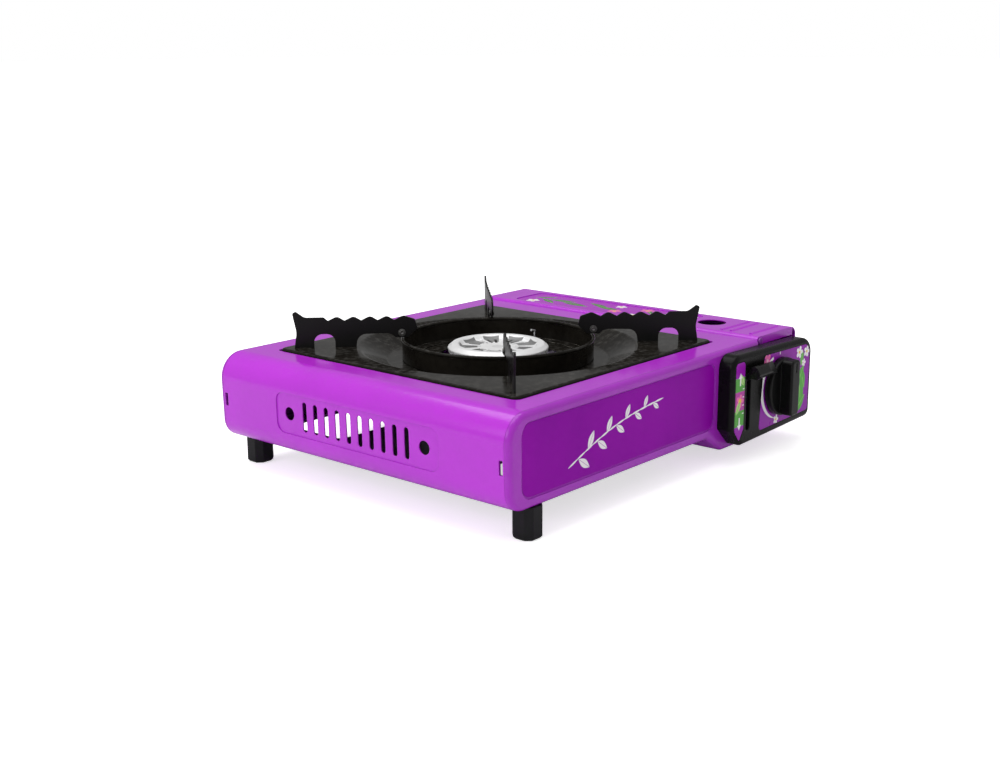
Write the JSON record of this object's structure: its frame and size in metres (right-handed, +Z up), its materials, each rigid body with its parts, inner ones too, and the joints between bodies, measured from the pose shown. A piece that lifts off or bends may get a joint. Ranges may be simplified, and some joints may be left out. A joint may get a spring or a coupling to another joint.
{
  "type": "camping stove",
  "caption": "Low portable gas stove with a square drip tray, round burner, radial pan supports, knob, locking lever and a hinged cartridge cover.",
  "frame": {"origin": "middle of the footprint, on the surface the feet stand on", "axes": "+X to the right along the front, from the burner to the cartridge cover; +Y to the rear; +Z up"},
  "size_m": [0.341, 0.296, 0.1102],
  "materials": {
    "purple_enamel": "gloss enamel over pressed sheet",
    "rim_enamel": "gloss enamel over pressed sheet",
    "front_vinyl": "gloss printed vinyl with a plain leaf ornament",
    "lid_vinyl": null,
    "knob_vinyl": null,
    "lever_vinyl": "gloss printed vinyl with plain arrows",
    "galvanised": "galvanised sheet, dull",
    "aluminium_sheet": "mill finish",
    "foot_plastic": "moulded, satin",
    "foot_rubber": "matt",
    "zinc_screw": "zinc plated",
    "steel_pin": "drawn",
    "painted_pin": "pin heads enamelled with the body",
    "cast_bowl": "as cast",
    "cap_silver": "bright, coined",
    "tube_steel": "drawn tube",
    "ceramic": "glazed white",
    "wire_jacket": "silicone jacket",
    "die_cast": "zinc die casting",
    "brass": "turned",
    "panel_black": "moulded, satin",
    "knob_black": "moulded, satin",
    "lever_black": "moulded, satin",
    "cam_plastic": "moulded acetal",
    "igniter_case": "moulded",
    "tray_enamel": "gloss black vitreous enamel",
    "support_black": "satin black enamel on sheet steel",
    "eyelet_steel": "plated"
  },
  "bodies": {
    "body": {"body_wrap": "purple_enamel", "front_panel": "rim_enamel", "rear_panel": "rim_enamel", "front_label": "front_vinyl", "cartridge_trough": "purple_enamel", "bottom_plate": "galvanised", "divider_plate": "galvanised", "heat_plate": "aluminium_sheet", "tall_foot_front": "foot_plastic", "tall_foot_rear": "foot_plastic", "low_foot_front": "foot_rubber", "low_foot_rear": "foot_rubber", "bottom_screws": "zinc_screw", "foot_screws": "zinc_screw", "burner_screws": "zinc_screw", "panel_screws": "zinc_screw", "bracket_screws": "zinc_screw", "hinge_bracket_front": "galvanised", "hinge_bracket_rear": "galvanised", "hinge_pins": "painted_pin", "burner_bowl": "cast_bowl", "burner_cap": "cap_silver", "mixing_tube": "tube_steel", "burner_bracket": "galvanised", "electrode_ceramic": "ceramic", "spark_electrode": "steel_pin", "igniter_wire": "wire_jacket", "regulator_body": "die_cast", "regulator_diaphragm": "foot_rubber", "regulator_cover": "die_cast", "regulator_screws": "zinc_screw", "cartridge_seal": "foot_rubber", "cartridge_locator": "galvanised", "gas_pipe": "brass", "gas_jet": "brass", "control_panel": "panel_black", "knob_label": "knob_vinyl", "lever_label": "lever_vinyl", "piezo_igniter": "igniter_case", "lever_pin": "steel_pin", "lever_bracket": "galvanised", "carriage_guide": "galvanised"},
    "lid": {"lid": "purple_enamel", "lid_label": "lid_vinyl"},
    "tray": {"drip_tray": "tray_enamel", "wind_ring": "tray_enamel", "pot_support_1": "support_black", "pot_support_2": "support_black", "pot_support_3": "support_black", "pot_support_4": "support_black", "support_eyelets": "eyelet_steel"},
    "knob": {"knob": "knob_black", "valve_stem": "steel_pin", "igniter_cam": "cam_plastic"},
    "plunger": {"igniter_plunger": "cam_plastic"},
    "lever": {"lock_lever": "lever_black"},
    "carriage": {"cartridge_carriage": "galvanised"}
  },
  "joints": [
    {"name": "lid_hinge", "type": "hinge", "parent": "body", "child": "lid", "pos_m": [0.11703, 0.013, 0.081], "axis": [0, -1, 0], "range_deg": [0, 95]},
    {"name": "knob_turn", "type": "hinge", "parent": "body", "child": "knob", "pos_m": [0.12203, -0.134, 0.049], "axis": [0, -1, 0], "range_deg": [0, 135]},
    {"name": "igniter_push", "type": "slide", "parent": "body", "child": "plunger", "axis": [-1, 0, 0], "range_m": [0, 0.005]},
    {"name": "lever_swing", "type": "hinge", "parent": "body", "child": "lever", "pos_m": [0.07903, -0.104, 0.0455], "axis": [1, 0, 0], "range_deg": [0, 62]},
    {"name": "carriage_slide", "type": "slide", "parent": "body", "child": "carriage", "axis": [0, -1, 0], "range_m": [0, 0.004]},
    {"name": "tray_lift", "type": "slide", "parent": "body", "child": "tray", "axis": [0, 0, 1], "range_m": [0, 0.08]}
  ],
  "couplings": [
    {"joint": "igniter_push", "follows": "knob_turn", "m_per_rad": 0.002122},
    {"joint": "lever_swing", "follows": "carriage_slide", "rad_per_m": 270.48}
  ]
}
